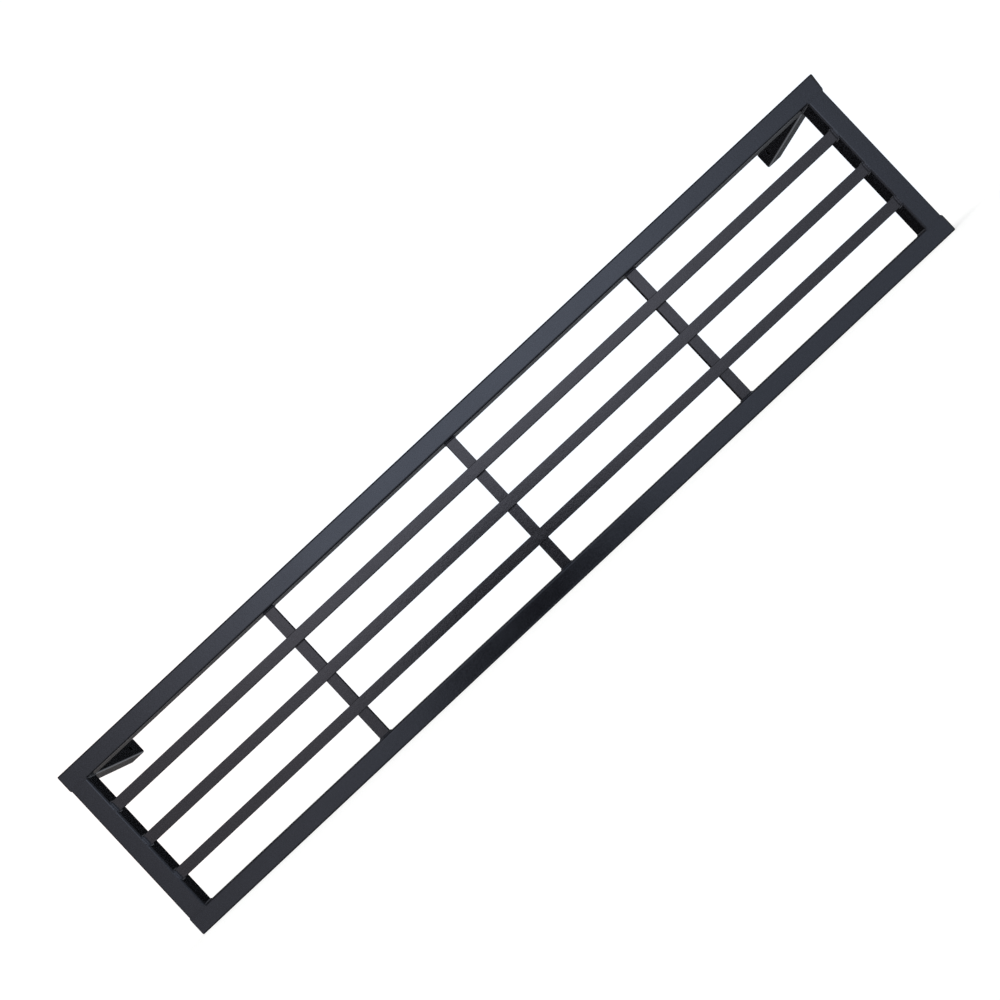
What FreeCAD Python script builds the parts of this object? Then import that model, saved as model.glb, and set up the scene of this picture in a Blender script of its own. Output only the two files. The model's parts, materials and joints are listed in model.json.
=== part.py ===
import FreeCAD, Part
import os

# Window security bar: a welded grille that stands in front of a low, wide window.
#
# Two long rails of square tube run the full width, one above the other, and two end rails of the
# same tube are butted between them.  Three flat bars run from end rail to end rail, and three flat
# cross bars stand behind them, from rail to rail.  Two arms of the same tube run straight back from
# the top corners and are screwed to the sides of the window opening.  Every open tube end has a
# plastic plug.
#
# Axes, in millimetres: X to the viewer's right, Y away from the viewer towards the window, Z up.
# Origin: the centre of the bottom rail's underside, midway along the rail.

# ---------------------------------------------------------------------------- driving dimensions
frame_width = 1000.0      # along X, over the cut ends of the long rails
frame_height = 208.0      # along Z, over the top and bottom rails

tube_side = 20.0          # square tube of the rails and arms, outside
tube_wall = 1.5
tube_corner = 2.0         # outside corner radius of the tube

bar_width = 12.0          # flat bar, across its face
bar_thickness = 6.0
bar_edge = 0.6            # rolled edge radius of the flat bar
bar_setback = 2.0         # from the frame's front face back to the long bars' faces

arm_reach = 120.0         # length of the arm's tube behind the frame
fixing_hole = 6.5         # clearance hole for a 6 mm frame screw
fixing_to_plug = 1.75     # metal left between a fixing hole's edge and the plug's inner end

plug_flange = 2.0         # thickness of the plug's flange, outside the tube
plug_round = 0.8          # rounding of the flange's outer edge
plug_depth = 15.0         # length of the plug inside the tube
plug_gap = 0.15           # clearance between the plug's fins and the tube's bore, each side
plug_core = 11.0          # square core that carries the fins
plug_core_wall = 1.6
plug_fin = 1.0            # thickness of a fin
plug_fin_count = 4

weld_leg = 2.5            # leg of a fillet weld
weld_root = 1.0           # depth that a butt weld reaches into the joint

# ------------------------------------------------------------------------------ derived positions
end_x = frame_width / 2.0
inner_x = end_x - tube_side
half_tube = tube_side / 2.0
front_y = -half_tube
back_y = half_tube
under_top_z = frame_height - tube_side
over_bottom_z = tube_side
flat_half = half_tube - tube_corner
bore_side = tube_side - 2.0 * tube_wall
bore_corner = max(tube_corner - tube_wall, 0.1)

long_bar_names = ("lower_bar", "middle_bar", "upper_bar")
cross_bar_names = ("left_cross_bar", "centre_cross_bar", "right_cross_bar")
long_bar_front_y = front_y + bar_setback
crossing_y = long_bar_front_y + bar_thickness
cross_bar_back_y = crossing_y + bar_thickness


def even_centres(start, stop, count, width):
    """Centres of count pieces that leave equal gaps between themselves and both ends."""
    gap = (stop - start - count * width) / (count + 1)
    return [start + gap + width / 2.0 + index * (gap + width) for index in range(count)]


long_bar_z = even_centres(over_bottom_z, under_top_z, len(long_bar_names), bar_width)
cross_bar_x = even_centres(-inner_x, inner_x, len(cross_bar_names), bar_width)

arm_end_y = back_y + arm_reach
arm_mid_z = frame_height - half_tube
fixing_margin = plug_depth + fixing_to_plug + fixing_hole / 2.0
fixing_y = (back_y + fixing_margin, arm_end_y - fixing_margin)

nodes = {}


# ------------------------------------------------------------------------------------ basic shapes
def vector(x, y, z):
    return FreeCAD.Vector(x, y, z)


def box(low, high):
    """A box from its lowest corner to its highest one."""
    size = [high[axis] - low[axis] for axis in range(3)]
    return Part.makeBox(size[0], size[1], size[2], vector(low[0], low[1], low[2]))


def prism(points, travel):
    """A flat outline, given by its corners, pushed along travel."""
    corners = [vector(*point) for point in points]
    outline = Part.makePolygon(corners + corners[:1])
    return Part.Face(outline).extrude(travel)


def rounded_rod(width, depth, length, radius):
    """A solid along +X from the origin, its section centred on the axis and rounded."""
    blank = box((0.0, -width / 2.0, -depth / 2.0), (length, width / 2.0, depth / 2.0))
    long_edges = [edge for edge in blank.Edges if abs(edge.tangentAt(0.0).x) > 0.9]
    return blank.makeFillet(radius, long_edges)


def square_tube(length):
    """A length of the frame's tube along +X from the origin."""
    outside = rounded_rod(tube_side, tube_side, length, tube_corner)
    bore = rounded_rod(bore_side, bore_side, length, bore_corner)
    return outside.cut(bore)


def moved(shape, move):
    """A copy of shape, moved."""
    copy = shape.copy()
    copy.translate(move)
    return copy


def turned(shape, axis, degrees, move):
    """A copy of shape, turned about an axis through the origin and then moved."""
    copy = shape.copy()
    copy.rotate(vector(0, 0, 0), axis, degrees)
    return moved(copy, move)


def mirrored(shape):
    """The same shape on the other side of the grille."""
    return shape.mirror(vector(0, 0, 0), vector(1, 0, 0))


# -------------------------------------------------------------------------------- tubes of the frame
def make_rails():
    rail = square_tube(frame_width)
    for name, middle_z in (("bottom_rail", half_tube), ("top_rail", frame_height - half_tube)):
        nodes[name] = moved(rail, vector(-end_x, 0, middle_z))


def make_end_rails():
    """The uprights at both ends, butted between the long rails."""
    upright = turned(square_tube(under_top_z - over_bottom_z), vector(0, 1, 0), -90,
                     vector(inner_x + half_tube, 0, over_bottom_z))
    nodes["right_end_rail"] = upright
    nodes["left_end_rail"] = mirrored(upright)


def make_arms():
    """The arms, butted against the top rail's back face, with two screw holes through each."""
    arm = turned(square_tube(arm_reach), vector(0, 0, 1), 90,
                 vector(inner_x + half_tube, back_y, arm_mid_z))
    for hole_y in fixing_y:
        drill = Part.makeCylinder(fixing_hole / 2.0, tube_side, vector(inner_x, hole_y, arm_mid_z),
                                  vector(1, 0, 0))
        arm = arm.cut(drill)
    nodes["right_arm"] = arm
    nodes["left_arm"] = mirrored(arm)


# ----------------------------------------------------------------------------------------- flat bars
def make_long_bars():
    middle_y = long_bar_front_y + bar_thickness / 2.0
    bar = rounded_rod(bar_thickness, bar_width, 2.0 * inner_x, bar_edge)
    for name, middle_z in zip(long_bar_names, long_bar_z):
        nodes[name] = moved(bar, vector(-inner_x, middle_y, middle_z))


def make_cross_bars():
    middle_y = crossing_y + bar_thickness / 2.0
    bar = rounded_rod(bar_thickness, bar_width, under_top_z - over_bottom_z, bar_edge)
    for name, middle_x in zip(cross_bar_names, cross_bar_x):
        nodes[name] = turned(bar, vector(0, 1, 0), -90, vector(middle_x, middle_y, over_bottom_z))


# ------------------------------------------------------------------------------------- plastic plugs
def make_plug():
    """A finned plug whose flange starts at the origin and stands out along +X."""
    flange = rounded_rod(tube_side, tube_side, plug_flange, tube_corner)
    outer_edges = [edge for edge in flange.Edges if edge.BoundBox.XMin > plug_flange - 0.01]
    flange = flange.makeFillet(plug_round, outer_edges)
    core = rounded_rod(plug_core, plug_core, plug_depth, bore_corner)
    hollow_side = plug_core - 2.0 * plug_core_wall
    core = core.cut(rounded_rod(hollow_side, hollow_side, plug_depth - plug_core_wall, bore_corner))
    plug = flange.fuse(moved(core, vector(-plug_depth, 0, 0)))
    fin_side = bore_side - 2.0 * plug_gap
    fin = rounded_rod(fin_side, fin_side, plug_fin, bore_corner)
    fin_pitch = plug_depth / plug_fin_count
    for index in range(plug_fin_count):
        ring = moved(fin, vector(-plug_depth + index * fin_pitch, 0, 0))
        ring = ring.cut(box((-plug_depth, -hollow_side / 2.0, -hollow_side / 2.0),
                            (-plug_core_wall, hollow_side / 2.0, hollow_side / 2.0)))
        plug = plug.fuse(ring)
    return plug.removeSplitter()


def make_plugs():
    plug = make_plug()
    for rail, middle_z in (("bottom_rail", half_tube), ("top_rail", frame_height - half_tube)):
        right = moved(plug, vector(end_x, 0, middle_z))
        nodes[rail + "_right_plug"] = right
        nodes[rail + "_left_plug"] = mirrored(right)
    right = turned(plug, vector(0, 0, 1), 90, vector(inner_x + half_tube, arm_end_y, arm_mid_z))
    nodes["right_arm_plug"] = right
    nodes["left_arm_plug"] = mirrored(right)


# ---------------------------------------------------------------------------------------------- welds
def make_corner_welds():
    """At each corner: a butt weld, front and back, and a fillet inside the frame."""
    beads = []
    inner_side = inner_x + tube_corner
    outer_side = end_x - tube_corner
    for rail, joint_z, up in (("top_rail", under_top_z, 1.0), ("bottom_rail", over_bottom_z, -1.0)):
        reach_z = joint_z + up * tube_corner
        low_z = min(joint_z, reach_z)
        high_z = max(joint_z, reach_z)
        for face_y, root_y in ((front_y, front_y + weld_root), (back_y, back_y - weld_root)):
            strip = box((inner_side, min(face_y, root_y), low_z),
                        (outer_side, max(face_y, root_y), high_z))
            beads.append(strip.cut(nodes[rail]))
        beads.append(prism([(inner_x, -flat_half, joint_z),
                            (inner_x - weld_leg, -flat_half, joint_z),
                            (inner_x, -flat_half, joint_z - up * weld_leg)],
                           vector(0, 2.0 * flat_half, 0)))
    nodes["corner_welds"] = Part.makeCompound(beads + [mirrored(bead) for bead in beads])


def make_arm_welds():
    """At each arm: a butt weld on top, a fillet on the inner side and a fillet underneath."""
    inner_side = inner_x + tube_corner
    outer_side = end_x - tube_corner
    top_strip = box((inner_side, back_y - tube_corner, frame_height - weld_root),
                    (outer_side, back_y, frame_height))
    beads = [
        top_strip.cut(nodes["top_rail"]),
        prism([(inner_x, back_y, arm_mid_z - flat_half),
               (inner_x - weld_leg, back_y, arm_mid_z - flat_half),
               (inner_x, back_y + weld_leg, arm_mid_z - flat_half)],
              vector(0, 0, 2.0 * flat_half)),
        prism([(inner_side, back_y, under_top_z),
               (inner_side, back_y + weld_leg, under_top_z),
               (inner_side, back_y, under_top_z - weld_leg)],
              vector(outer_side - inner_side, 0, 0)),
    ]
    nodes["arm_welds"] = Part.makeCompound(beads + [mirrored(bead) for bead in beads])


def collar(near, far):
    """A weld all round a bar's end: a pyramid cut short, between two upright rectangles.

    Each rectangle is (x, y low, y high, z low, z high), and the two lie in planes across X.
    """
    wires = []
    for x, y_low, y_high, z_low, z_high in (near, far):
        corners = [vector(x, y_low, z_low), vector(x, y_high, z_low),
                   vector(x, y_high, z_high), vector(x, y_low, z_high)]
        wires.append(Part.makePolygon(corners + corners[:1]))
    return Part.makeLoft(wires, True, True)


def make_bar_end_welds():
    """Where each long bar meets an end rail; in front the weld fills up to the rail's face."""
    beads = []
    for name, middle_z in zip(long_bar_names, long_bar_z):
        low_z = middle_z - bar_width / 2.0
        high_z = middle_z + bar_width / 2.0
        wide = (front_y, crossing_y + weld_leg, low_z - weld_leg, high_z + weld_leg)
        narrow = (long_bar_front_y, crossing_y, low_z, high_z)
        skirt = collar((inner_x,) + wide, (inner_x - weld_leg,) + narrow)
        filling = prism([(inner_x, front_y, wide[2]),
                         (inner_x + tube_corner, front_y, wide[2]),
                         (inner_x, front_y + tube_corner, wide[2])],
                        vector(0, 0, wide[3] - wide[2]))
        bead = skirt.fuse(filling).cut(nodes["right_end_rail"]).cut(nodes[name])
        beads.append(bead)
    nodes["bar_end_welds"] = Part.makeCompound(beads + [mirrored(bead) for bead in beads])


def make_cross_bar_welds():
    """Where each cross bar meets the top and bottom rails."""
    beads = []
    for name, middle_x in zip(cross_bar_names, cross_bar_x):
        half = bar_width / 2.0
        wide = (crossing_y - weld_leg, cross_bar_back_y + weld_leg, -half - weld_leg, half + weld_leg)
        narrow = (crossing_y, cross_bar_back_y, -half, half)
        skirt = collar((0.0,) + wide, (weld_leg,) + narrow)
        lower = turned(skirt, vector(0, 1, 0), -90, vector(middle_x, 0, over_bottom_z))
        upper = turned(skirt, vector(0, 1, 0), 90, vector(middle_x, 0, under_top_z))
        beads.append(lower.cut(nodes[name]))
        beads.append(upper.cut(nodes[name]))
    nodes["cross_bar_welds"] = Part.makeCompound(beads)


def make_crossing_welds():
    """Behind each crossing: a short fillet on both sides of the cross bar."""
    beads = []
    half_length = bar_width / 2.0 - bar_edge
    for middle_x in cross_bar_x:
        for middle_z in long_bar_z:
            for side in (-1.0, 1.0):
                side_x = middle_x + side * bar_width / 2.0
                beads.append(prism([(side_x, crossing_y, middle_z - half_length),
                                    (side_x + side * weld_leg, crossing_y, middle_z - half_length),
                                    (side_x, crossing_y + weld_leg, middle_z - half_length)],
                                   vector(0, 0, 2.0 * half_length)))
    nodes["crossing_welds"] = Part.makeCompound(beads)


# ---------------------------------------------------------------------------------------- build it
make_rails()
make_end_rails()
make_arms()
make_long_bars()
make_cross_bars()
make_plugs()
make_corner_welds()
make_arm_welds()
make_bar_end_welds()
make_cross_bar_welds()
make_crossing_welds()

os.makedirs("parts", exist_ok=True)
for name, shape in nodes.items():
    shape.exportStep("parts/" + name + ".step")
    limits = shape.BoundBox
    print("%-24s solids %2d  valid %s  volume %9.1f  x %7.1f..%7.1f  y %6.1f..%6.1f  z %6.1f..%6.1f" % (
        name, len(shape.Solids), shape.isValid(), shape.Volume,
        limits.XMin, limits.XMax, limits.YMin, limits.YMax, limits.ZMin, limits.ZMax))
print("screw holes at y = %.1f and %.1f, z = %.1f" % (fixing_y[0], fixing_y[1], arm_mid_z))
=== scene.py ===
# %% [markdown]
# # Window security bar
#
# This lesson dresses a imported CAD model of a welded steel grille: two long rails and two short
# ones of square tube, three long flat bars in front of three cross flat bars, two arms that run
# back to the window, plastic plugs in the open tube ends, and weld beads at every joint.
#
# The CAD model is the fixed frame. It says where each piece is, and every piece made here stands
# in the same place, with the small shapes that steelwork really has: rolled corners, tube walls,
# rippled welds and a slightly uneven coat of powder paint.

import json
import math

import bpy
from mathutils import Matrix, Vector


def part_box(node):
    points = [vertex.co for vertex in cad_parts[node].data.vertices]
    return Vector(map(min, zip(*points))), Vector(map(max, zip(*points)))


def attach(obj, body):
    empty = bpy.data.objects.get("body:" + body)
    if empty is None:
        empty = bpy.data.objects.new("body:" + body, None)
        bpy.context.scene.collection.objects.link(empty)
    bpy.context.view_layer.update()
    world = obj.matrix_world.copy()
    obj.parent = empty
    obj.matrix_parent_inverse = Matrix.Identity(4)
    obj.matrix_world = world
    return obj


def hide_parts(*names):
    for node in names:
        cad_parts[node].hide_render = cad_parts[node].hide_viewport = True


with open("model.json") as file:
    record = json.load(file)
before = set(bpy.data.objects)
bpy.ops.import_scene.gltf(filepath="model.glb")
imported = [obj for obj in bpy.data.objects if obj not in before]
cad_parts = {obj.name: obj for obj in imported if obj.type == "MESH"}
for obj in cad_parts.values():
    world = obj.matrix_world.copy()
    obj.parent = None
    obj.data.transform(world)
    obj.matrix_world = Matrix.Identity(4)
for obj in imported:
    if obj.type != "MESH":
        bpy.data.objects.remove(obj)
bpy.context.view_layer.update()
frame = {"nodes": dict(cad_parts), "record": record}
MM = 0.001
print("nodes to dress:", len(frame["nodes"]))

# %% [markdown]
# ## The camera
#
# The grille is looked at square on, from about 0.9 m, with the camera a little above the bottom
# rail. The camera is rolled by 43 degrees, so that the long grille lies from corner to corner of
# its square view and fills it. A slightly wide lens lets the two arms show behind the top
# corners. The camera comes first because the light is set by what the coat mirrors towards it.

# %% Set up the camera
CAMERA_PLACE = Vector((-47.3, -909.3, 43.6)) * MM
CAMERA_YAW = math.radians(-0.547)
CAMERA_PITCH = math.radians(0.370)
CAMERA_ROLL = math.radians(-43.147)

camera_data = bpy.data.cameras.new("camera")
camera_data.sensor_width = 36.0
camera_data.lens = 33.377
camera_data.shift_x = -0.0176
camera_data.shift_y = 0.0705
camera_data.clip_start = 0.01
camera = bpy.data.objects.new("camera", camera_data)
bpy.context.scene.collection.objects.link(camera)
camera.matrix_world = (
    Matrix.Translation(CAMERA_PLACE)
    @ Matrix.Rotation(CAMERA_YAW, 4, "Z")
    @ Matrix.Rotation(math.radians(90) + CAMERA_PITCH, 4, "X")
    @ Matrix.Rotation(CAMERA_ROLL, 4, "Z")
)
bpy.context.scene.camera = camera
print("camera:", [round(value, 3) for value in camera.location])

# %% [markdown]
# ## Colours and nodes
#
# Paint colours are written as hex values, as on a colour chart. Blender's shaders work in linear
# light, so one function turns them. Another adds a shader node with its settings and its links,
# and every material below is built with it.

# %% Helpers for colours and nodes
def linear(hex_colour):
    """An sRGB hex colour as linear red, green, blue and alpha."""
    parts = [int(hex_colour[start:start + 2], 16) / 255 for start in (1, 3, 5)]
    return [part / 12.92 if part <= 0.04045 else ((part + 0.055) / 1.055) ** 2.4
            for part in parts] + [1.0]


def add_node(tree, kind, inputs=(), **settings):
    """Adds a node. inputs pairs a socket with its value, or with the output that feeds it."""
    node = tree.nodes.new(kind)
    for setting, value in settings.items():
        setattr(node, setting, value)
    for socket, value in inputs:
        if isinstance(value, bpy.types.NodeSocket):
            tree.links.new(value, node.inputs[socket])
        else:
            node.inputs[socket].default_value = value
    return node


# %% [markdown]
# ## Satin black powder coat
#
# The steel is black polyester powder coat: a dielectric paint, baked on. Almost all that is seen
# of it is what it mirrors, softly, from the room. An even black with one roughness would be
# quick to make, but it would look like plastic film. The real coat isn't level: it has an orange
# peel a few millimetres across and a finer grain, and its gloss drifts over a few centimetres.
# Three noises draw these, one for each size. The tubes carry a slightly bluer film than the flat
# bars, and a weld's skin is a little rougher, so one function makes all three coats.
#
# A pattern's scale is one over its size in metres, because Object coordinates are in metres. The
# grain is really about 0.2 mm, and is drawn at 0.9 mm so that it shows.

# %% Make the powder coat
PEEL = 3.2 * MM
PEEL_DEPTH = 0.04 * MM
GRAIN = 0.9 * MM
GRAIN_RANGE = (0.42, 0.62)    # the part of the noise that goes from thin film to thick
CLOUD = 35 * MM
CLOUD_RANGE = (0.3, 0.7)      # the part of the noise that goes from smooth to rough
THIN_FILM = "#08080a"


def powder_coat(name, thick_film, tint, ior, smooth, rough, grit):
    """Baked powder paint: its colour where thick, tint, IOR, roughness range and grain height."""
    material = bpy.data.materials.new(name)
    material.use_nodes = True
    tree = material.node_tree
    tree.nodes.clear()
    place = add_node(tree, "ShaderNodeTexCoord").outputs["Object"]
    cloud = add_node(tree, "ShaderNodeTexNoise",
                     [("Vector", place), ("Scale", 1 / CLOUD), ("Detail", 3.0)])
    peel = add_node(tree, "ShaderNodeTexNoise",
                    [("Vector", place), ("Scale", 1 / PEEL), ("Detail", 1.0)])
    grain = add_node(tree, "ShaderNodeTexNoise",
                     [("Vector", place), ("Scale", 1 / GRAIN), ("Detail", 2.0)])
    film = add_node(tree, "ShaderNodeMapRange",
                    [("Value", grain.outputs[0]), ("From Min", GRAIN_RANGE[0]),
                     ("From Max", GRAIN_RANGE[1])])
    colour = add_node(tree, "ShaderNodeMix",
                      [(0, film.outputs[0]), (6, linear(THIN_FILM)), (7, linear(thick_film))],
                      data_type="RGBA")
    gloss = add_node(tree, "ShaderNodeMapRange",
                     [("Value", cloud.outputs[0]), ("From Min", CLOUD_RANGE[0]),
                      ("From Max", CLOUD_RANGE[1]), ("To Min", smooth), ("To Max", rough)])
    waves = add_node(tree, "ShaderNodeBump",
                     [("Height", peel.outputs[0]), ("Distance", PEEL_DEPTH)])
    bumps = add_node(tree, "ShaderNodeBump",
                     [("Height", grain.outputs[0]), ("Distance", grit),
                      ("Normal", waves.outputs[0])])
    paint = add_node(tree, "ShaderNodeBsdfPrincipled",
                     [("Base Color", colour.outputs[2]), ("Roughness", gloss.outputs[0]),
                      ("IOR", ior), ("Specular Tint", linear(tint)),
                      ("Normal", bumps.outputs[0])])
    add_node(tree, "ShaderNodeOutputMaterial", [("Surface", paint.outputs[0])])
    return material


# Satin black polyester powder, on tube, on flat bar and on the rougher skin of a weld.
tube_coat = powder_coat("satin_black_powder_coat_on_tube", "#1c1d22", "#e3ebff",
                        1.57, 0.13, 0.18, 0.028 * MM)
bar_coat = powder_coat("satin_black_powder_coat_on_flat_bar", "#232327", "#f4f2ff",
                       1.53, 0.14, 0.19, 0.035 * MM)
weld_coat = powder_coat("satin_black_powder_coat_on_weld", "#1c1c21", "#e3ebff",
                        1.56, 0.16, 0.23, 0.028 * MM)
print("coats:", tube_coat.name, bar_coat.name, weld_coat.name)

# %% [markdown]
# ## Moulded plastic for the plugs
#
# The plugs are black polyethylene from a mould with a fine spark texture. It is duller than the
# paint, a touch warmer, and has no orange peel. The pits could be modelled, but they are far
# finer than any face should be, so a cell pattern raises them in the shader, drawn at 0.5 mm.

# %% Make the plug plastic
SPARK = 0.5 * MM
PIT_DEPTH = 0.03 * MM
BLOOM = 6 * MM                # the size of the faint clouds on a moulding's skin

# Black polyethylene, as it comes from a spark-eroded mould.
plug_plastic = bpy.data.materials.new("moulded_black_polyethylene")
plug_plastic.use_nodes = True
plastic_tree = plug_plastic.node_tree
plastic_tree.nodes.clear()
plastic_place = add_node(plastic_tree, "ShaderNodeTexCoord").outputs["Object"]
spark = add_node(plastic_tree, "ShaderNodeTexVoronoi",
                 [("Vector", plastic_place), ("Scale", 1 / SPARK)])
bloom = add_node(plastic_tree, "ShaderNodeTexNoise",
                 [("Vector", plastic_place), ("Scale", 1 / BLOOM)])
plastic_colour = add_node(plastic_tree, "ShaderNodeMix",
                          [(0, bloom.outputs[0]), (6, linear("#161617")), (7, linear("#1e1e1f"))],
                          data_type="RGBA")
plastic_gloss = add_node(plastic_tree, "ShaderNodeMapRange",
                         [("Value", bloom.outputs[0]), ("To Min", 0.42), ("To Max", 0.56)])
plastic_pits = add_node(plastic_tree, "ShaderNodeBump",
                        [("Height", spark.outputs[0]), ("Distance", PIT_DEPTH)])
plastic = add_node(plastic_tree, "ShaderNodeBsdfPrincipled",
                   [("Base Color", plastic_colour.outputs[2]), ("IOR", 1.51),
                    ("Roughness", plastic_gloss.outputs[0]),
                    ("Normal", plastic_pits.outputs[0])])
add_node(plastic_tree, "ShaderNodeOutputMaterial", [("Surface", plastic.outputs[0])])
print("plastic:", plug_plastic.name)

# %% [markdown]
# ## Working by hand, in code
#
# Each piece starts as a block of its own size at its own place, and is then shaped in edit mode.
# An operator acts on what is selected, so one helper selects faces, edges or points by a test on
# where they are. Another finishes a piece: soft corners shade smoothly while the flats stay flat,
# the material goes on, and the piece is hung under the root body while its CAD node is hidden.

# %% Helpers for modelling
NEAR = 1e-6                   # a thousandth of a millimetre


def pick(piece):
    """Makes one piece the only one that operators act on."""
    bpy.ops.object.select_all(action="DESELECT")
    piece.select_set(True)
    bpy.context.view_layer.objects.active = piece


def block(name, low, high):
    """A plain block between two corners, ready to be shaped."""
    bpy.ops.object.select_all(action="DESELECT")
    bpy.ops.mesh.primitive_cube_add(size=1, location=(low + high) / 2, scale=high - low)
    piece = bpy.context.object
    piece.name = name
    bpy.ops.object.transform_apply(location=True, rotation=True, scale=True)
    return piece


def choose(piece, kind, test):
    """Selects the points, edges or faces that pass a test on their points, in edit mode."""
    bpy.ops.object.mode_set(mode="EDIT")
    bpy.ops.mesh.select_mode(type=kind)
    bpy.ops.mesh.select_all(action="DESELECT")
    bpy.ops.object.mode_set(mode="OBJECT")
    mesh = piece.data
    if kind == "VERT":
        for point in mesh.vertices:
            point.select = test([point.co])
    else:
        for part in mesh.edges if kind == "EDGE" else mesh.polygons:
            part.select = test([mesh.vertices[index].co for index in part.vertices])
    bpy.ops.object.mode_set(mode="EDIT")


def level(points, axis, value):
    """True where all the points lie at one value along an axis."""
    return all(abs(point[axis] - value) < NEAR for point in points)


def runs_along(points, axis):
    """True for an edge that runs along an axis."""
    way = points[1] - points[0]
    return abs(way[axis]) > 0.9 * way.length


def copy_of(piece, name):
    """A copy with a mesh of its own."""
    bpy.ops.object.mode_set(mode="OBJECT")
    pick(piece)
    bpy.ops.object.duplicate(linked=False)
    copy = bpy.context.object
    copy.name = name
    return copy


def set_in_place(piece, place, turn=(0, 0, 0)):
    """Turns and moves a piece that was made at the origin, and settles it there."""
    piece.rotation_euler = turn
    piece.location = place
    pick(piece)
    bpy.ops.object.transform_apply(location=True, rotation=True, scale=True)


def mirror_over(piece):
    """Turns a piece into its twin on the other side of the grille."""
    pick(piece)
    bpy.ops.object.mode_set(mode="EDIT")
    bpy.ops.mesh.select_all(action="SELECT")
    bpy.ops.transform.resize(value=(-1, 1, 1), center_override=(0, 0, 0))
    bpy.ops.mesh.normals_make_consistent(inside=False)
    bpy.ops.object.mode_set(mode="OBJECT")


def joined(pieces, name):
    """Several parts of one piece as one object."""
    bpy.ops.object.select_all(action="DESELECT")
    for piece in pieces:
        piece.select_set(True)
    bpy.context.view_layer.objects.active = pieces[0]
    if len(pieces) > 1:
        bpy.ops.object.join()
    pieces[0].name = name
    return pieces[0]


def hand_over(piece, node, material):
    """Shades a finished piece, paints it, and puts it in the place of its CAD node."""
    bpy.ops.object.mode_set(mode="OBJECT")
    pick(piece)
    bpy.ops.object.shade_smooth_by_angle(angle=math.radians(40))
    weighted = piece.modifiers.new("flats stay flat", "WEIGHTED_NORMAL")
    weighted.keep_sharp = True
    bpy.ops.object.modifier_apply(modifier=weighted.name)
    piece.data.name = piece.name
    piece.data.materials.clear()
    piece.data.materials.append(material)
    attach(piece, "root")
    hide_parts(node)
    print(f"{piece.name}: {len(piece.data.polygons)} faces for {node}")


# %% [markdown]
# ## Square tube
#
# The rails and the arms are 20 mm square tube. It is rolled from strip, so its long corners are
# round, and it is hollow. It could be an outline swept along a line, but a block takes its
# length and its place straight from the frame. So a cube is beveled along its four long edges,
# its cut ends get the slightly broken edge that a file leaves, and the bore is made by insetting
# both ends by the wall, taking out what is left in the middle and bridging the two openings.

# %% Make the tubes
TUBE_CORNER = 2.0 * MM
TUBE_WALL = 1.5 * MM
FILED_EDGE = 0.25 * MM


def tube(name, node, axis):
    """A length of square tube in the place of a CAD node, open at both ends along an axis."""
    low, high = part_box(node)

    def at_cut_end(points):
        return level(points, axis, low[axis]) or level(points, axis, high[axis])

    piece = block(name, low, high)
    choose(piece, "EDGE", lambda points: runs_along(points, axis))
    bpy.ops.mesh.bevel(offset=TUBE_CORNER, segments=7, affect="EDGES")
    choose(piece, "EDGE", at_cut_end)
    bpy.ops.mesh.bevel(offset=FILED_EDGE, segments=2, affect="EDGES")
    choose(piece, "FACE", at_cut_end)
    bpy.ops.mesh.inset(thickness=TUBE_WALL - FILED_EDGE)
    bpy.ops.mesh.delete(type="FACE")
    bpy.ops.mesh.select_mode(type="EDGE")
    bpy.ops.mesh.select_non_manifold()
    bpy.ops.mesh.bridge_edge_loops()
    bpy.ops.mesh.select_all(action="SELECT")
    bpy.ops.mesh.normals_make_consistent(inside=False)
    bpy.ops.object.mode_set(mode="OBJECT")
    return piece


for node in ("top_rail", "bottom_rail"):
    hand_over(tube(node + "_tube", node, 0), node, tube_coat)
for node in ("left_end_rail", "right_end_rail"):
    hand_over(tube(node + "_tube", node, 2), node, tube_coat)

# %% [markdown]
# ## The arms and their screw holes
#
# Each arm is a short length of the same tube, drilled right through from the side with two
# clearance holes, so that it can be screwed to the side of the window opening. A drill is a
# cylinder here too. It is cut out with a boolean, which goes through both walls at once and
# leaves the rest of the tube alone, and the holes' rims get the soft edge that paint gives them.

# %% Make the arms
screws = next(mount for mount in frame["record"]["mounts"]
              if mount["name"] == "right_arm_screws")
HOLE_RADIUS = screws["dims"]["hole_r_mm"] * MM
HOLE_SPACING = screws["dims"]["spacing_x_mm"] * MM
PAINTED_RIM = 0.3 * MM


def drill(piece, middle, depth):
    """Drills a hole along X through a piece."""
    bpy.ops.object.select_all(action="DESELECT")
    bpy.ops.mesh.primitive_cylinder_add(vertices=48, radius=HOLE_RADIUS, depth=depth,
                                        location=middle, rotation=(0, math.radians(90), 0))
    bit = bpy.context.object
    cut = piece.modifiers.new("drilled", "BOOLEAN")
    cut.operation = "DIFFERENCE"
    cut.solver = "EXACT"
    cut.object = bit
    bpy.context.view_layer.objects.active = piece
    bpy.ops.object.modifier_apply(modifier=cut.name)
    bpy.data.objects.remove(bit)


def soften_rims(piece, middle, side_x):
    """Rounds the rim of a hole in one of the arm's sides."""

    def on_rim(points):
        reach = [math.hypot(point.y - middle.y, point.z - middle.z) for point in points]
        return level(points, 0, side_x) and max(reach) < HOLE_RADIUS + PAINTED_RIM / 4

    pick(piece)
    choose(piece, "EDGE", on_rim)
    bpy.ops.mesh.bevel(offset=PAINTED_RIM, segments=3, affect="EDGES")
    bpy.ops.object.mode_set(mode="OBJECT")


for node in ("left_arm", "right_arm"):
    arm = tube(node + "_tube", node, 1)
    low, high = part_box(node)
    for step in (-0.5, 0.5):
        middle = (low + high) / 2 + Vector((0, step * HOLE_SPACING, 0))
        drill(arm, middle, 1.5 * (high.x - low.x))
        for side_x in (low.x, high.x):
            soften_rims(arm, middle, side_x)
    hand_over(arm, node, tube_coat)

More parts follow.
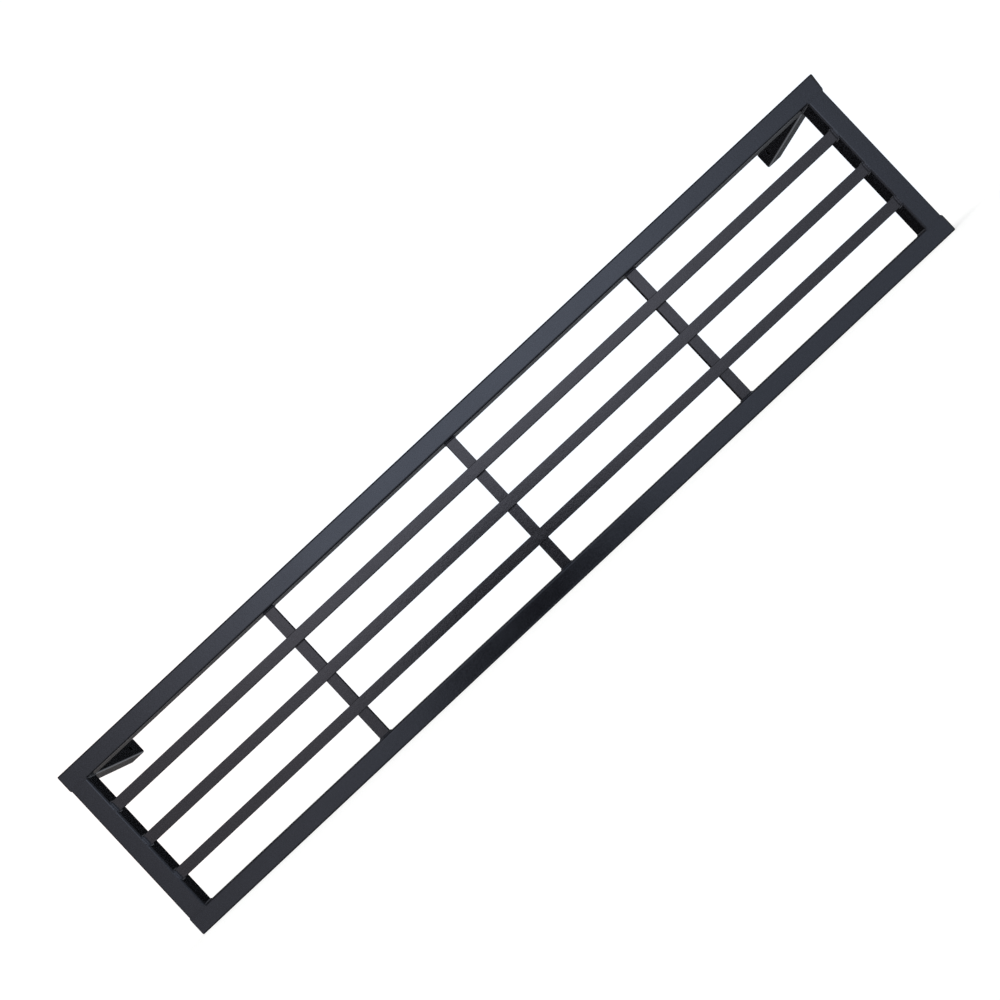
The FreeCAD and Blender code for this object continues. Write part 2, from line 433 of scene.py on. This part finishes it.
# %% [markdown]
# ## Flat bars
#
# The bars are solid 12 by 6 mm flat steel, hot rolled, so their long edges are just broken
# rather than round. A block with its four long edges beveled is all that they need. The ends
# stay square, because they are buried in weld. The bevel matters more than its size suggests: it
# draws a fine line along each bar, where it turns away from the light.

# %% Make the flat bars
ROLLED_EDGE = 0.6 * MM


def flat_bar(name, node, axis):
    """A solid flat bar in the place of a CAD node."""
    piece = block(name, *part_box(node))
    choose(piece, "EDGE", lambda points: runs_along(points, axis))
    bpy.ops.mesh.bevel(offset=ROLLED_EDGE, segments=4, affect="EDGES")
    bpy.ops.object.mode_set(mode="OBJECT")
    return piece


for node in ("upper_bar", "middle_bar", "lower_bar"):
    hand_over(flat_bar(node + "_flat", node, 0), node, bar_coat)
for node in ("left_cross_bar", "centre_cross_bar", "right_cross_bar"):
    hand_over(flat_bar(node + "_flat", node, 2), node, bar_coat)

# %% [markdown]
# ## Plugs in the tube ends
#
# A plug is one moulding: a square cap with a soft, slightly domed face, and behind it a hollow
# square core with thin fins that grip the tube. Separate slabs pushed into each other would look
# the same, but a moulding has one skin, so it is made from one block. It is modelled lying along
# X with the cap's back at the origin. The core grows out of the back by an inset and extrudes, and
# each fin is a ring of the core's own sides scaled outwards. The cap's corners are rounded to
# match the tube, and its face is built up in rings that shrink as they rise.

# %% Model one plug
PLUG_SIDE = 20.0 * MM
CAP_RIM = 0.9 * MM
# Each ring of the cap's face: how far it rises and how far it reaches from the middle, in mm.
CAP_RINGS = ((0.30, 9.88), (0.22, 9.68), (0.10, 9.35), (0.25, 8.0), (0.30, 5.5), (0.12, 2.8),
             (0.03, 1.0))
CORE_SIDE = 11.0 * MM
CORE_WALL = 1.6 * MM
PLUG_DEPTH = 15.0 * MM
FIN = 1.0 * MM
FIN_COUNT = 4
FIN_SIDE = 16.7 * MM

half_side = PLUG_SIDE / 2
fin_gap = (PLUG_DEPTH - FIN_COUNT * FIN) / FIN_COUNT
bore_reach = CORE_SIDE / 2 - CORE_WALL


def push(distance):
    """Extrudes the chosen faces along X."""
    bpy.ops.mesh.extrude_region_move(TRANSFORM_OT_translate={"value": (distance, 0, 0)})


def widen(share):
    """Scales the chosen faces about the plug's own axis."""
    bpy.ops.transform.resize(value=(1, share, share), center_override=(0, 0, 0))


def on_fin(points, front):
    """True for the core's outer sides between the front and the back of one fin."""
    places = [point.x for point in points]
    return (max(abs(points[0].y), abs(points[0].z)) > bore_reach + NEAR
            and abs(min(places) - front + FIN) < NEAR
            and abs(max(places) - front) < NEAR)


plug = block("plug", Vector((0, -half_side, -half_side)),
             Vector((CAP_RIM, half_side, half_side)))
choose(plug, "FACE", lambda points: level(points, 0, 0))
bpy.ops.mesh.inset(thickness=(PLUG_SIDE - CORE_SIDE) / 2)
for index in range(FIN_COUNT):
    for step in (fin_gap, FIN):
        push(-step)
bpy.ops.mesh.inset(thickness=CORE_WALL)
push(PLUG_DEPTH - CORE_WALL)

for index in range(FIN_COUNT):
    fin_front = -(index + 1) * fin_gap - index * FIN
    choose(plug, "FACE", lambda points: on_fin(points, fin_front))
    push(0)
    widen(FIN_SIDE / CORE_SIDE)

choose(plug, "EDGE", lambda points: runs_along(points, 0) and all(
    min(abs(point.y), abs(point.z)) > half_side - NEAR for point in points))
bpy.ops.mesh.bevel(offset=TUBE_CORNER, segments=6, affect="EDGES")
choose(plug, "FACE", lambda points: level(points, 0, CAP_RIM))
ring_half = half_side
for rise, half in CAP_RINGS:
    push(rise * MM)
    widen(half * MM / ring_half)
    ring_half = half * MM
bpy.ops.object.mode_set(mode="OBJECT")
print("plug:", len(plug.data.polygons), "faces,",
      [round(side / MM, 2) for side in plug.dimensions])

# %% [markdown]
# Every plug is a copy. They were knocked in by hand, so no two caps stand out quite the same:
# each has its own share of the rim's height and of the dome's, and the one at the top right
# went in askew, with its lower edge flush and its upper one standing out.

# %% Copy the plug into every open end
QUARTER = math.radians(90)
# For each end: the share of the rim's height, the share of the dome's, and degrees askew.
CAP_STAND = {
    "top_rail_right_plug": (0.3, 0.7, 6.0),
    "bottom_rail_right_plug": (0.62, 0.62, 0.0),
    "top_rail_left_plug": (0.45, 0.45, 0.0),
    "bottom_rail_left_plug": (0.15, 0.15, 0.0),
    "right_arm_plug": (0.9, 0.9, 0.0),
    "left_arm_plug": (0.9, 0.9, 0.0),
}

for node, (rim, dome, askew) in CAP_STAND.items():
    low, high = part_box(node)
    middle = (low + high) / 2
    cap = copy_of(plug, node + "_moulding")
    choose(cap, "VERT", lambda points: points[0].x > NEAR)
    bpy.ops.transform.resize(value=(rim, 1, 1), center_override=(0, 0, 0))
    rim_x = rim * CAP_RIM
    choose(cap, "VERT", lambda points: points[0].x > rim_x + NEAR)
    bpy.ops.transform.resize(value=(dome / rim, 1, 1), center_override=(rim_x, 0, 0))
    choose(cap, "VERT", lambda points: points[0].x > NEAR)
    bpy.ops.transform.rotate(value=-math.radians(askew), orient_axis="Y",
                             center_override=(0, 0, -half_side))
    bpy.ops.object.mode_set(mode="OBJECT")
    if "arm" in node:
        tube_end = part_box(node.replace("_plug", ""))[1].y
        set_in_place(cap, (middle.x, tube_end, middle.z), (0, 0, QUARTER))
    else:
        tube_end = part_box("top_rail")[1].x
        set_in_place(cap, (tube_end, middle.y, middle.z))
        if "left" in node:
            mirror_over(cap)
    hand_over(cap, node, plug_plastic)
bpy.data.objects.remove(plug)

# %% [markdown]
# ## Weld beads
#
# A bead is a row of puddles, each frozen half over the last, which gives the ripples. A rippled
# tube would be simpler, but it would end flat and couldn't turn a sharp corner. So a bead is made
# as the real one is: overlapping balls are set along the joint, melted into one skin by a voxel
# remesh, and smoothed as the powder coat smooths them. A ball's middle lies on the joint's
# corner, so much of it is fused into the steel and only the rounded fillet shows.

# %% Helpers for welding
RIPPLE = 1.7 * MM
VOXEL = 0.42 * MM
BEAD = 2.1 * MM
FIRST_PUDDLE = 1.06           # the bead starts a little heavy
CRATER_LOSS = 0.14            # and runs out into a smaller crater
HAND_WOBBLE = 0.04            # with the unevenness of a hand-held torch
WOBBLE_STEP = 2.3


def puddles(start, end, radius):
    """Balls from start to end: a full one where the bead starts, and a small one at its crater."""
    run = end - start
    count = max(2, round(run.length / RIPPLE) + 1)
    balls = []
    for index in range(count):
        share = index / (count - 1)
        size = radius * (FIRST_PUDDLE - CRATER_LOSS * share
                         + HAND_WOBBLE * math.sin(WOBBLE_STEP * index))
        balls.append((start + run * share, size))
    return balls


def melt(name, balls):
    """Melts balls into one bead."""
    bpy.ops.object.select_all(action="DESELECT")
    place, radius = balls[0]
    bpy.ops.mesh.primitive_ico_sphere_add(subdivisions=2, radius=radius, location=place)
    bead = bpy.context.object
    bead.name = name
    bpy.ops.object.mode_set(mode="EDIT")
    for place, radius in balls[1:]:
        bpy.ops.mesh.primitive_ico_sphere_add(subdivisions=2, radius=radius, location=place)
    bpy.ops.object.mode_set(mode="OBJECT")
    bpy.ops.object.transform_apply(location=True, rotation=True, scale=True)
    skin = bead.modifiers.new("skin", "REMESH")
    skin.mode = "VOXEL"
    skin.voxel_size = VOXEL
    bpy.ops.object.modifier_apply(modifier=skin.name)
    coat = bead.modifiers.new("coat", "SMOOTH")
    coat.factor = 0.5
    coat.iterations = 5
    bpy.ops.object.modifier_apply(modifier=coat.name)
    return bead


def ground(bead, place, outwards):
    """Grinds a bead flat at a plane, as with a flap disc."""
    pick(bead)
    bpy.ops.object.mode_set(mode="EDIT")
    bpy.ops.mesh.select_all(action="SELECT")
    bpy.ops.mesh.bisect(plane_co=place, plane_no=outwards, use_fill=True, clear_outer=True)
    bpy.ops.object.mode_set(mode="OBJECT")


# %% [markdown]
# ## Welds at the frame's corners
#
# The end rails are butted between the long rails. Front and back, a butt weld fills the groove
# that the round corner of the long rail leaves, and it is ground off so that the frame's face
# looks like one surface. Inside the corner there is a fillet, left as welded. One corner is
# welded, and the others are its mirror copies.

# %% Weld the corners
GROUND_PROUD = 0.05 * MM
GROOVE = 1.9 * MM
GROOVE_DEPTH = 0.8 * MM       # from the face down to the middle of a butt weld
SHORT_OF_CORNER = 1.2 * MM    # a butt weld starts and stops this far from the tube's side
INSIDE_BEAD = 1.3 * MM

rail_low, rail_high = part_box("top_rail")
post_low, post_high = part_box("right_end_rail")


def corner_bead(kind, joint_z, up):
    """One bead at a corner on the right: in front, behind, or inside."""
    if kind == "inside":
        start = Vector((post_low.x, rail_low.y + TUBE_CORNER, joint_z))
        end = Vector((post_low.x, rail_high.y - TUBE_CORNER, joint_z))
        return melt("bead", puddles(start, end, INSIDE_BEAD))
    face_y = rail_low.y if kind == "front" else rail_high.y
    inwards = 1 if kind == "front" else -1
    deep_y = face_y + inwards * GROOVE_DEPTH
    deep_z = joint_z + up * GROOVE_DEPTH
    start = Vector((post_low.x + SHORT_OF_CORNER, deep_y, deep_z))
    end = Vector((post_high.x - SHORT_OF_CORNER, deep_y, deep_z))
    bead = melt("bead", puddles(start, end, GROOVE))
    ground(bead, (0, face_y - inwards * GROUND_PROUD, 0), (0, -inwards, 0))
    return bead


corner_beads = []
for joint_z, up in ((post_high.z, 1), (post_low.z, -1)):
    for kind in ("front", "back", "inside"):
        bead = corner_bead(kind, joint_z, up)
        twin = copy_of(bead, "twin")
        mirror_over(twin)
        corner_beads += [bead, twin]
corner_welds = joined(corner_beads, "corner_weld_beads")
hand_over(corner_welds, "corner_welds", weld_coat)

# %% [markdown]
# ## Welds of the arms
#
# An arm is butted against the back of the top rail. On top the weld fills the groove and is left
# a little proud. On the arm's inner side and underneath there is a fillet. The outer side is
# bare, because it lies against the window opening.

# %% Weld the arms
arm_low, arm_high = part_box("right_arm")
groove_y, groove_z = arm_low.y - GROOVE_DEPTH, arm_high.z - GROOVE_DEPTH
arm_runs = (
    (Vector((arm_low.x + SHORT_OF_CORNER, groove_y, groove_z)),
     Vector((arm_high.x - SHORT_OF_CORNER, groove_y, groove_z)), GROOVE),
    (Vector((arm_low.x, arm_low.y, arm_low.z + TUBE_CORNER)),
     Vector((arm_low.x, arm_low.y, arm_high.z - TUBE_CORNER)), BEAD),
    (Vector((arm_low.x + TUBE_CORNER, arm_low.y, arm_low.z)),
     Vector((arm_high.x - TUBE_CORNER, arm_low.y, arm_low.z)), BEAD),
)
arm_beads = []
for index, (start, end, radius) in enumerate(arm_runs):
    bead = melt("bead", puddles(start, end, radius))
    if index == 0:
        ground(bead, (0, 0, arm_high.z + 2 * GROUND_PROUD), (0, 0, 1))
    twin = copy_of(bead, "twin")
    mirror_over(twin)
    arm_beads += [bead, twin]
arm_welds = joined(arm_beads, "arm_weld_beads")
hand_over(arm_welds, "arm_welds", weld_coat)

# %% [markdown]
# ## Welds round the bars' ends
#
# Each long bar is welded all round to the end rails, and each cross bar to the long rails. One
# collar of weld is run round a bar's section at the origin, with the bar along X, and copied to
# every end. In front of a long bar the weld is heavier and fills up to the rail's face.

# %% Weld the bars' ends
COLLAR = 1.35 * MM
LONG_COLLAR = 1.05 * MM
BAR_FACE = 12 * MM
BAR_DEPTH = 6 * MM
# The rows of the heavier front weld: place along the bar, place in depth and radius, in mm.
FILL_ROWS = ((1.2, -3.1, 1.95), (-0.5, -2.6, 1.6), (-2.0, -2.2, 1.05))
FILL_MARGIN = 1.9 * MM


def round_bar(radius):
    """Balls all round the end of a flat bar that lies along X, its face towards -Y."""
    y = BAR_DEPTH / 2
    z = BAR_FACE / 2
    corners = [Vector((0, -y, -z)), Vector((0, -y, z)), Vector((0, y, z)), Vector((0, y, -z))]
    balls = []
    for index, corner in enumerate(corners):
        balls += puddles(corner, corners[(index + 1) % 4], radius)
    return balls


def front_fill():
    """Balls that fill the step from a long bar's face up to the rail's face."""
    half = Vector((0, 0, BAR_FACE / 2 - FILL_MARGIN))
    balls = []
    for along, deep, radius in FILL_ROWS:
        middle = Vector((along, deep, 0)) * MM
        balls += puddles(middle - half, middle + half, radius * MM)
    return balls


heavy_collar = melt("collar", round_bar(LONG_COLLAR) + front_fill())
ends = []
for node in ("upper_bar", "middle_bar", "lower_bar"):
    low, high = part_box(node)
    middle = (low + high) / 2
    right = copy_of(heavy_collar, "right")
    set_in_place(right, (high.x, middle.y, middle.z))
    left = copy_of(right, "left")
    mirror_over(left)
    ends += [right, left]
bpy.data.objects.remove(heavy_collar)
hand_over(joined(ends, "bar_end_weld_beads"), "bar_end_welds", weld_coat)

light_collar = melt("collar", round_bar(COLLAR))
ends = []
for node in ("left_cross_bar", "centre_cross_bar", "right_cross_bar"):
    low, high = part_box(node)
    middle = (low + high) / 2
    for end_z, turn in ((low.z, QUARTER), (high.z, -QUARTER)):
        end = copy_of(light_collar, "end")
        set_in_place(end, (middle.x, middle.y, end_z), (0, turn, 0))
        ends.append(end)
bpy.data.objects.remove(light_collar)
hand_over(joined(ends, "cross_bar_weld_beads"), "cross_bar_welds", weld_coat)

# %% [markdown]
# ## Welds behind the crossings
#
# Where a long bar crosses a cross bar, two short beads behind it hold them together, out of
# sight from the front.

# %% Weld the crossings
TACK = 1.8 * MM

half_run = (BAR_FACE / 2 - BEAD) * Vector((0, 0, 1))
tack = melt("tack", puddles(-half_run, half_run, TACK))
tacks = []
for cross in ("left_cross_bar", "centre_cross_bar", "right_cross_bar"):
    cross_low, cross_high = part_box(cross)
    for long in ("upper_bar", "middle_bar", "lower_bar"):
        long_low, long_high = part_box(long)
        middle_z = (long_low.z + long_high.z) / 2
        for side_x in (cross_low.x, cross_high.x):
            bead = copy_of(tack, "tack")
            set_in_place(bead, (side_x, long_high.y, middle_z))
            tacks.append(bead)
bpy.data.objects.remove(tack)
hand_over(joined(tacks, "crossing_weld_beads"), "crossing_welds", weld_coat)

# %% [markdown]
# ## Floor
#
# The grille stands on a plain pale floor: matt opal acrylic, lit a little from below as on a
# light table, so that shadows stay soft. A table would end somewhere in view, so the sheet is far
# larger than the grille. It doesn't show in reflections. The glow from below stands for it there,
# so that its edge never draws a line on the paint.

# %% Lay the floor
FLOOR_SIDE = 30
HAZE = 4 * MM                 # the size of the faint mottling in the sheet
TABLE_GLOW = 0.28

bpy.ops.object.select_all(action="DESELECT")
bpy.ops.mesh.primitive_grid_add(x_subdivisions=8, y_subdivisions=8, size=FLOOR_SIDE)
floor = bpy.context.object
floor.name = "floor"
floor.visible_glossy = False
# Opal acrylic sheet, sanded matt.
sheet = bpy.data.materials.new("matt_opal_acrylic")
sheet.use_nodes = True
sheet_tree = sheet.node_tree
sheet_tree.nodes.clear()
haze = add_node(sheet_tree, "ShaderNodeTexNoise",
                 [("Vector", add_node(sheet_tree, "ShaderNodeTexCoord").outputs["Object"]),
                  ("Scale", 1 / HAZE)])
sheet_colour = add_node(sheet_tree, "ShaderNodeMix",
                        [(0, haze.outputs[0]), (6, linear("#f0f0ee")), (7, linear("#f6f6f5"))],
                        data_type="RGBA")
matt = add_node(sheet_tree, "ShaderNodeBsdfDiffuse", [("Color", sheet_colour.outputs[2])])
lit = add_node(sheet_tree, "ShaderNodeEmission",
               [("Color", sheet_colour.outputs[2]), ("Strength", TABLE_GLOW)])
top = add_node(sheet_tree, "ShaderNodeAddShader", [(0, matt.outputs[0]), (1, lit.outputs[0])])
add_node(sheet_tree, "ShaderNodeOutputMaterial", [("Surface", top.outputs[0])])
floor.data.materials.append(sheet)
print("floor:", floor.name)

# %% [markdown]
# ## Light
#
# Black paint is lit by what it mirrors. Lamps and screens could stand round the grille, but each
# of their edges would show on the bars. So the studio is one soft surround, and its brightness
# is worked out from the direction alone.
#
# A direction has three parts, across, behind and up, each from -1 to 1. A light's edge is given
# as where its fade starts and where it stops, and, where they aren't 0 and 1, as the light's
# share at both.

# %% Helpers for the light
world = bpy.data.worlds.new("studio")
bpy.context.scene.world = world
world.use_nodes = True
sky = world.node_tree
sky.nodes.clear()
way = add_node(sky, "ShaderNodeTexCoord").outputs["Generated"]
way_parts = add_node(sky, "ShaderNodeSeparateXYZ", [(0, way)])
across, behind, up = way_parts.outputs


def fade(value, start, stop, low=0.0, high=1.0):
    """Fades from low to high as a value goes from start to stop."""
    return add_node(sky, "ShaderNodeMapRange",
                    [("Value", value), ("From Min", start), ("From Max", stop),
                     ("To Min", low), ("To Max", high)],
                    interpolation_type="SMOOTHSTEP").outputs[0]


def combine(operation, *values):
    """One sum of one, two or three values."""
    return add_node(sky, "ShaderNodeMath", list(enumerate(values)),
                    operation=operation).outputs[0]


def measure(operation, *vectors):
    """One sum of one or two directions."""
    return add_node(sky, "ShaderNodeVectorMath", list(enumerate(vectors)), operation=operation)


# %% [markdown]
# ## The wall in front
#
# What the faces of the grille mirror is the room in front of it: an evenly lit wall, a broad
# soft light above the camera, and a dim gap in front of the lower middle, where the camera's
# stand is. The wall fades out to the sides and high up.

# %% Light the wall in front
WALL = 0.84
WALL_SIDES = (0.8, 0.35, 0.35, 1.0)
WALL_HEIGHT = (0.75, 0.3, 0.1, 1.0)
WALL_DEPTH = (0.45, -0.35)
SOFT_LIGHT = 1.13
SOFT_LIGHT_MIDDLE = 0.06
SOFT_LIGHT_SIDES = (0.5, 0.12)
SOFT_LIGHT_FOOT = (0.0, 0.09)
SOFT_LIGHT_TOP = (0.5, 0.25)
GAP_WAY = (0.0, -1.0, -0.055)
GAP_SIZE = (0.155, 1e6, 0.13)
GAP_EDGE = (0.75, 1.15)

aside = combine("ABSOLUTE", combine("SUBTRACT", across, SOFT_LIGHT_MIDDLE))
soft_height = combine("MULTIPLY", fade(up, *SOFT_LIGHT_FOOT), fade(up, *SOFT_LIGHT_TOP))
soft_light = combine("MULTIPLY", fade(aside, *SOFT_LIGHT_SIDES), soft_height)
wall_reach = combine("MULTIPLY", fade(aside, *WALL_SIDES),
                     fade(combine("ABSOLUTE", up), *WALL_HEIGHT))
wall = combine("MULTIPLY_ADD", soft_light, SOFT_LIGHT, combine("MULTIPLY", wall_reach, WALL))
in_gaps = measure("DIVIDE", measure("SUBTRACT", way, GAP_WAY).outputs[0], GAP_SIZE)
past_gap = fade(measure("LENGTH", in_gaps.outputs[0]).outputs["Value"], *GAP_EDGE)
front = combine("MULTIPLY", combine("MULTIPLY", wall, past_gap), fade(behind, *WALL_DEPTH))
print("wall:", len(sky.nodes), "nodes")

# %% [markdown]
# ## The rest of the studio
#
# The back of the room is dark at eye level, which keeps the inner sides of the frame nearly
# black, and is lighter higher up. The sides are dimly lit. The pale floor shines back from
# below, but not from straight below, where the grille shades it: that draws the dark line along
# each rounded edge. The light is a touch warmer on the left. The camera itself sees plain white
# all round.

# %% Light the rest of the studio
OVERHEAD = 0.12
OVERHEAD_HEIGHT = (0.6, 1.0)
BACK_SKY = 0.50
BACK_SKY_HEIGHT = (0.15, 0.4)
BACK_SKY_DEPTH = (0.0, 0.4)
FLOOR_GLOW = 0.75
FLOOR_HEIGHT = (-0.08, -0.42)
FLOOR_SHADE = (-0.82, -0.5, 0.03, 1.0)
SIDE_FILL = 0.50
SIDE_REACH = (0.75, 0.97)
DARK_BACK = 0.02
WARM_WHITE = "#fffaf9"
COOL_WHITE = "#f3f8ff"
COOL_ACROSS = (-0.45, 0.0)
BACKDROP = 1.15

back_sky = combine("MULTIPLY", fade(up, *BACK_SKY_HEIGHT), fade(behind, *BACK_SKY_DEPTH))
above = combine("MAXIMUM", combine("MULTIPLY", fade(up, *OVERHEAD_HEIGHT), OVERHEAD),
                combine("MULTIPLY", back_sky, BACK_SKY))
lit_floor = combine("MULTIPLY", fade(up, *FLOOR_HEIGHT), fade(up, *FLOOR_SHADE))
below = combine("MULTIPLY", lit_floor, FLOOR_GLOW)
beside = combine("MULTIPLY", fade(combine("ABSOLUTE", across), *SIDE_REACH), SIDE_FILL)
surround = combine("MAXIMUM", combine("MAXIMUM", front, above),
                   combine("MAXIMUM", below, beside))
strength = combine("ADD", surround, DARK_BACK)
colour = add_node(sky, "ShaderNodeMix",
                  [(0, fade(across, *COOL_ACROSS)), (6, linear(WARM_WHITE)),
                   (7, linear(COOL_WHITE))],
                  data_type="RGBA")
seen = add_node(sky, "ShaderNodeLightPath").outputs["Is Camera Ray"]
shown = add_node(sky, "ShaderNodeMix", [(0, seen), (2, strength), (3, BACKDROP)])
light = add_node(sky, "ShaderNodeBackground",
                 [("Color", colour.outputs[2]), ("Strength", shown.outputs[0])])
add_node(sky, "ShaderNodeOutputWorld", [("Surface", light.outputs[0])])
bpy.context.scene.view_settings.view_transform = "Standard"
print("studio:", len(sky.nodes), "nodes")

# %% [markdown]
# ## Key light
#
# One large soft lamp hangs above and in front of the grille, a little to one side. It lights the
# floor and lays the soft shadow under the grille. A sun lamp with a very wide angle stands for
# it, because its light is as even as that of a large screen. It doesn't show in reflections,
# where the surround does all the work.

# %% Hang the key light
KEY_LIGHT = 2.0
KEY_SPREAD = math.radians(45)
KEY_TURN = (math.radians(22), math.radians(-10), 0)

lamp_data = bpy.data.lights.new("key light", "SUN")
lamp_data.energy = KEY_LIGHT
lamp_data.angle = KEY_SPREAD
lamp = bpy.data.objects.new("key light", lamp_data)
lamp.rotation_euler = KEY_TURN
lamp.visible_glossy = False
bpy.context.scene.collection.objects.link(lamp)
print("key light:", lamp.name)
